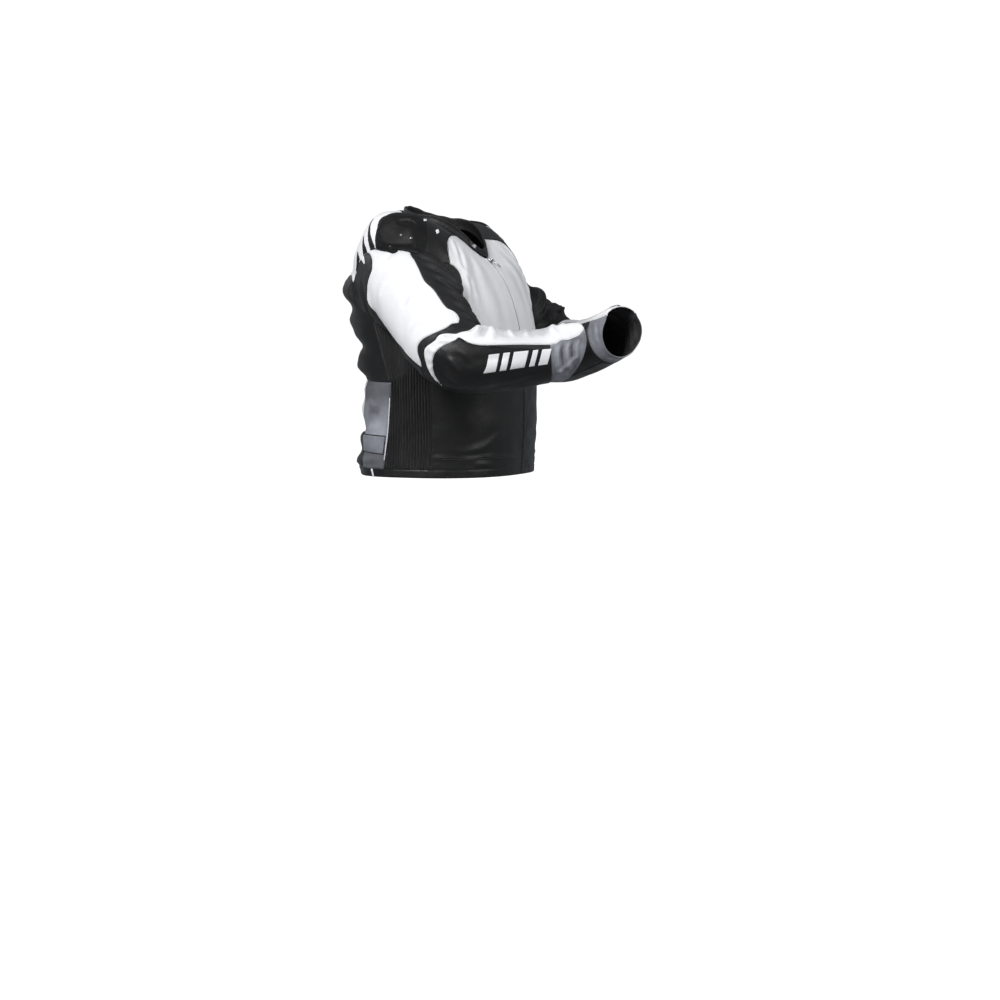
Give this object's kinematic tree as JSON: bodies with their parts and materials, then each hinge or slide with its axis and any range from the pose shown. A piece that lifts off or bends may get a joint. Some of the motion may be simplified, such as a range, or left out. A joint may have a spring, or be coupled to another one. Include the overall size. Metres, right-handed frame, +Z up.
{
  "type": "supermoto jacket",
  "caption": "Worn leather supermoto jacket, hollow and posed with both arms bent forward, with shoulder cups, pleated sides and a short collar.",
  "frame": {"origin": "middle of the neck opening, where the jacket hangs on the wearer's neck and shoulders", "axes": "+Z up, the wearer faces -Y, the wearer's right side is -X"},
  "size_m": [0.7252, 0.5895, 0.565],
  "materials": {
    "white_leather": "satin white leather",
    "black_leather": "satin black leather",
    "grey_leather": "mottled grey leather",
    "stretch_fabric": "matte black ribbed stretch fabric",
    "shoulder_armour": "glossy black moulded plastic",
    "zip_tape": "matte woven tape",
    "metal": "dark satin metal"
  },
  "bodies": {
    "jacket": {"accent_left_1": "white_leather", "accent_left_2": "white_leather", "accent_right_1": "white_leather", "accent_right_2": "white_leather", "armhole_insert_left": "stretch_fabric", "armhole_insert_right": "stretch_fabric", "back_yoke": "white_leather", "chest_left": "white_leather", "chest_right": "white_leather", "collar": "stretch_fabric", "collar_snap": "metal", "collar_tab": "black_leather", "cuff_left": "grey_leather", "cuff_right": "grey_leather", "cuff_zip_left": "zip_tape", "cuff_zip_right": "zip_tape", "elbow_band_left": "stretch_fabric", "elbow_band_right": "stretch_fabric", "forearm_gusset_left": "stretch_fabric", "forearm_gusset_right": "stretch_fabric", "forearm_inner_left": "black_leather", "forearm_inner_right": "black_leather", "forearm_outer_left": "black_leather", "forearm_outer_right": "black_leather", "forearm_top_left": "white_leather", "forearm_top_right": "white_leather", "hem_band_left": "black_leather", "hem_band_right": "black_leather", "kidney_left": "grey_leather", "kidney_right": "grey_leather", "lower_back": "white_leather", "lower_front_left": "black_leather", "lower_front_right": "black_leather", "shoulder_cup_left": "shoulder_armour", "shoulder_cup_right": "shoulder_armour", "shoulder_panel_left": "black_leather", "shoulder_panel_right": "black_leather", "side_panel_left": "stretch_fabric", "side_panel_right": "stretch_fabric", "sleeve_back_left": "black_leather", "sleeve_back_right": "black_leather", "sleeve_front_left": "stretch_fabric", "sleeve_front_right": "stretch_fabric", "sleeve_outer_left": "white_leather", "sleeve_outer_right": "white_leather", "strap_tab_left": "black_leather", "strap_tab_right": "black_leather", "upper_back": "black_leather", "waist_strap_left": "grey_leather", "waist_strap_right": "grey_leather", "yoke_slash_left_1": "black_leather", "yoke_slash_left_2": "black_leather", "yoke_slash_left_3": "black_leather", "yoke_slash_right_1": "black_leather", "yoke_slash_right_2": "black_leather", "yoke_slash_right_3": "black_leather", "zip_slider": "metal", "zip_tape_left": "zip_tape", "zip_tape_right": "zip_tape"},
    "pull": {"zip_pull": "metal"}
  },
  "joints": [
    {"name": "pull_hinge", "type": "hinge", "parent": "jacket", "child": "pull", "pos_m": [0, -0.11207, -0.09074], "axis": [-1, 0, 0], "range_deg": [0, 120]}
  ]
}
